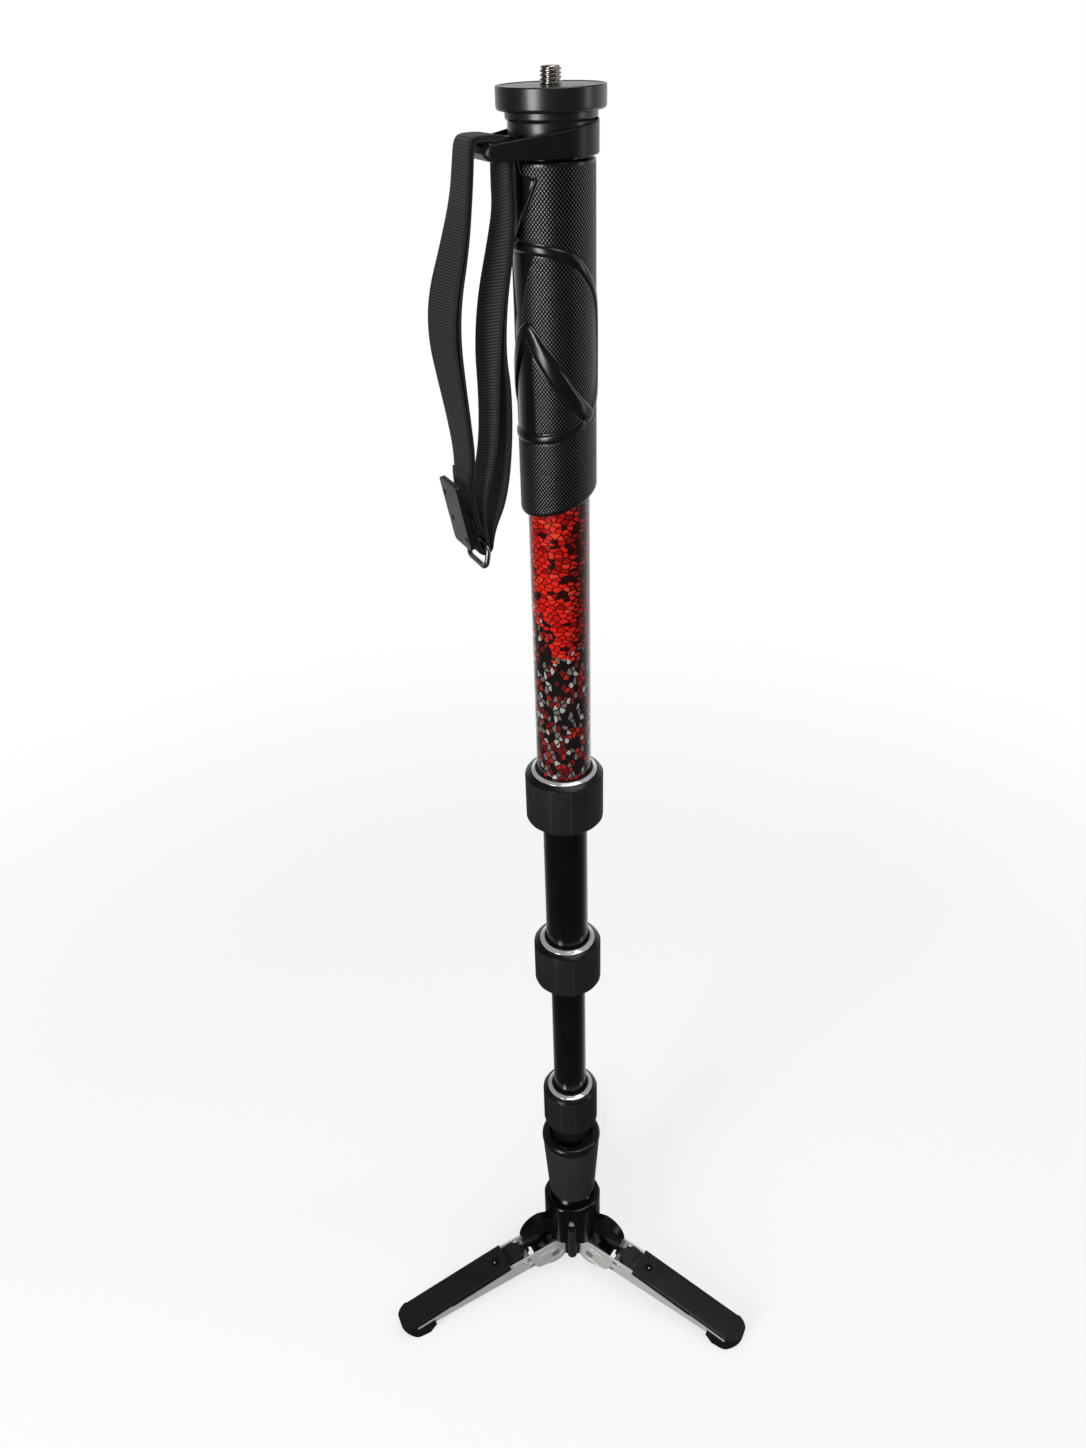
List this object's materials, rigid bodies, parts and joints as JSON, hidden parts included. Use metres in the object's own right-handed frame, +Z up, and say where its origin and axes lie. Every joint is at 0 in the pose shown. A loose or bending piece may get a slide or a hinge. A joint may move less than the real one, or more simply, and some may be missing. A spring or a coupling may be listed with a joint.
{
  "type": "camera monopod",
  "caption": "Telescoping camera monopod with a rubber grip, wrist strap, twist locks and a tilting, panning base on folding legs.",
  "frame": {"origin": "on the floor, under the column's axis", "axes": "+Z up along the column; -Y towards the side seen in the picture, +X to its right"},
  "size_m": [0.2664, 0.2323, 0.847],
  "materials": {
    "stud_steel": "turned steel screw, satin",
    "head_paint": "black anodised aluminium, satin",
    "collar_plastic": "moulded black plastic, semi-matte",
    "webbing": "woven black nylon webbing",
    "buckle_plastic": "dark grey moulded plate, satin",
    "buckle_wire": "dark plated wire",
    "grip_rubber": "textured black rubber",
    "tube_print": "gloss lacquered tube with a red and black pattern",
    "tube_black": "gloss black anodised tube",
    "bush_plastic": "natural acetal",
    "lock_plastic": "moulded black plastic",
    "lock_rubber": "soft matte rubber sleeve",
    "lock_chrome": "polished ring",
    "boot_plastic": "charcoal moulded cone, matte",
    "rim_plastic": "gloss black rim",
    "spigot_metal": "turned aluminium",
    "ball_steel": "ground steel ball and stem",
    "seat_brass": "turned bearing seat",
    "hub_plastic": "gloss black glass-filled plastic",
    "screw_steel": "plated screws and pins",
    "screw_black": "blackened screws deep in the leg covers",
    "leg_steel": "folded steel channel, satin nickel",
    "leg_plastic": "moulded black leg cover, satin",
    "catch_plastic": "dark grey moulded catch",
    "pin_chrome": "polished catch pin",
    "foot_rubber": "moulded black rubber foot"
  },
  "bodies": {
    "hub": {"hub": "hub_plastic", "hub_screws": "screw_steel", "seat_ring": "hub_plastic"},
    "tilt_seat": {"ball_seat": "seat_brass"},
    "ball_joint": {"ball_stem": "ball_steel"},
    "column_foot": {"boot": "boot_plastic", "boot_ring": "rim_plastic", "base_spigot": "spigot_metal", "tube_4": "tube_black", "tube_4_bush": "bush_plastic"},
    "section_3": {"tube_3": "tube_black", "tube_3_bush": "bush_plastic", "lock_3_collet": "lock_plastic", "lock_3_jaw": "bush_plastic"},
    "section_2": {"tube_2": "tube_black", "tube_2_bush": "bush_plastic", "lock_2_collet": "lock_plastic", "lock_2_jaw": "bush_plastic"},
    "section_1": {"tube_1": "tube_print", "lock_1_collet": "lock_plastic", "lock_1_jaw": "bush_plastic", "grip": "grip_rubber", "strap_collar": "collar_plastic", "head_neck": "head_paint", "camera_plate": "head_paint", "camera_stud": "stud_steel", "strap_outer_layer": "webbing", "strap_inner_layer": "webbing", "buckle_plate": "buckle_plastic", "buckle_ring": "buckle_wire"},
    "lock_1": {"lock_1_body": "lock_plastic", "lock_1_sleeve": "lock_rubber", "lock_1_ring": "lock_chrome"},
    "leg_1": {"leg_1_channel": "leg_steel", "leg_1_cover": "leg_plastic", "leg_1_pivot_pin": "screw_steel", "leg_1_screw": "screw_black", "leg_1_foot": "foot_rubber"},
    "leg_1_catch": {"leg_1_slider": "catch_plastic", "leg_1_catch_pin": "pin_chrome"},
    "lock_2": {"lock_2_body": "lock_plastic", "lock_2_sleeve": "lock_rubber", "lock_2_ring": "lock_chrome"},
    "leg_2": {"leg_2_channel": "leg_steel", "leg_2_cover": "leg_plastic", "leg_2_pivot_pin": "screw_steel", "leg_2_screw": "screw_black", "leg_2_foot": "foot_rubber"},
    "leg_2_catch": {"leg_2_slider": "catch_plastic", "leg_2_catch_pin": "pin_chrome"},
    "lock_3": {"lock_3_body": "lock_plastic", "lock_3_sleeve": "lock_rubber", "lock_3_ring": "lock_chrome"},
    "leg_3": {"leg_3_channel": "leg_steel", "leg_3_cover": "leg_plastic", "leg_3_pivot_pin": "screw_steel", "leg_3_screw": "screw_black", "leg_3_foot": "foot_rubber"},
    "leg_3_catch": {"leg_3_slider": "catch_plastic", "leg_3_catch_pin": "pin_chrome"}
  },
  "joints": [
    {"name": "tilt_direction", "type": "hinge", "parent": "hub", "child": "tilt_seat", "pos_m": [0, 0, 0.066], "axis": [0, 0, 1], "continuous": true},
    {"name": "column_tilt", "type": "hinge", "parent": "tilt_seat", "child": "ball_joint", "pos_m": [0, 0, 0.066], "axis": [1, 0, 0], "range_deg": [-15, 15]},
    {"name": "column_pan", "type": "hinge", "parent": "ball_joint", "child": "column_foot", "pos_m": [0, 0, 0.098], "axis": [0, 0, 1], "continuous": true},
    {"name": "section_3_slide", "type": "slide", "parent": "column_foot", "child": "section_3", "axis": [0, 0, 1], "range_m": [0, 0.275]},
    {"name": "section_2_slide", "type": "slide", "parent": "section_3", "child": "section_2", "axis": [0, 0, 1], "range_m": [-0.1045, 0.19]},
    {"name": "section_1_slide", "type": "slide", "parent": "section_2", "child": "section_1", "axis": [0, 0, 1], "range_m": [-0.097, 0.2]},
    {"name": "lock_1_twist", "type": "hinge", "parent": "section_1", "child": "lock_1", "pos_m": [0, 0, 0.462], "axis": [0, 0, 1], "range_deg": [0, 120]},
    {"name": "lock_2_twist", "type": "hinge", "parent": "section_2", "child": "lock_2", "pos_m": [0, 0, 0.327], "axis": [0, 0, 1], "range_deg": [0, 120]},
    {"name": "lock_3_twist", "type": "hinge", "parent": "section_3", "child": "lock_3", "pos_m": [0, 0, 0.183], "axis": [0, 0, 1], "range_deg": [0, 120]},
    {"name": "leg_1_fold", "type": "hinge", "parent": "hub", "child": "leg_1", "pos_m": [0.01905, -0.011, 0.0235], "axis": [0.5, 0.866, 0], "range_deg": [0, 78]},
    {"name": "leg_1_catch_pull", "type": "slide", "parent": "leg_1", "child": "leg_1_catch", "axis": [0.8464, -0.4887, -0.2117], "range_m": [0, 0.004], "stiffness_N_per_m": 800, "springref_m": -0.001},
    {"name": "leg_2_fold", "type": "hinge", "parent": "hub", "child": "leg_2", "pos_m": [-0.01905, -0.011, 0.0235], "axis": [0.5, -0.866, 0], "range_deg": [0, 78]},
    {"name": "leg_2_catch_pull", "type": "slide", "parent": "leg_2", "child": "leg_2_catch", "axis": [-0.8464, -0.4887, -0.2117], "range_m": [0, 0.004], "stiffness_N_per_m": 800, "springref_m": -0.001},
    {"name": "leg_3_fold", "type": "hinge", "parent": "hub", "child": "leg_3", "pos_m": [0, 0.022, 0.0235], "axis": [-1, 0, 0], "range_deg": [0, 78]},
    {"name": "leg_3_catch_pull", "type": "slide", "parent": "leg_3", "child": "leg_3_catch", "axis": [0, 0.9773, -0.2117], "range_m": [0, 0.004], "stiffness_N_per_m": 800, "springref_m": -0.001}
  ]
}
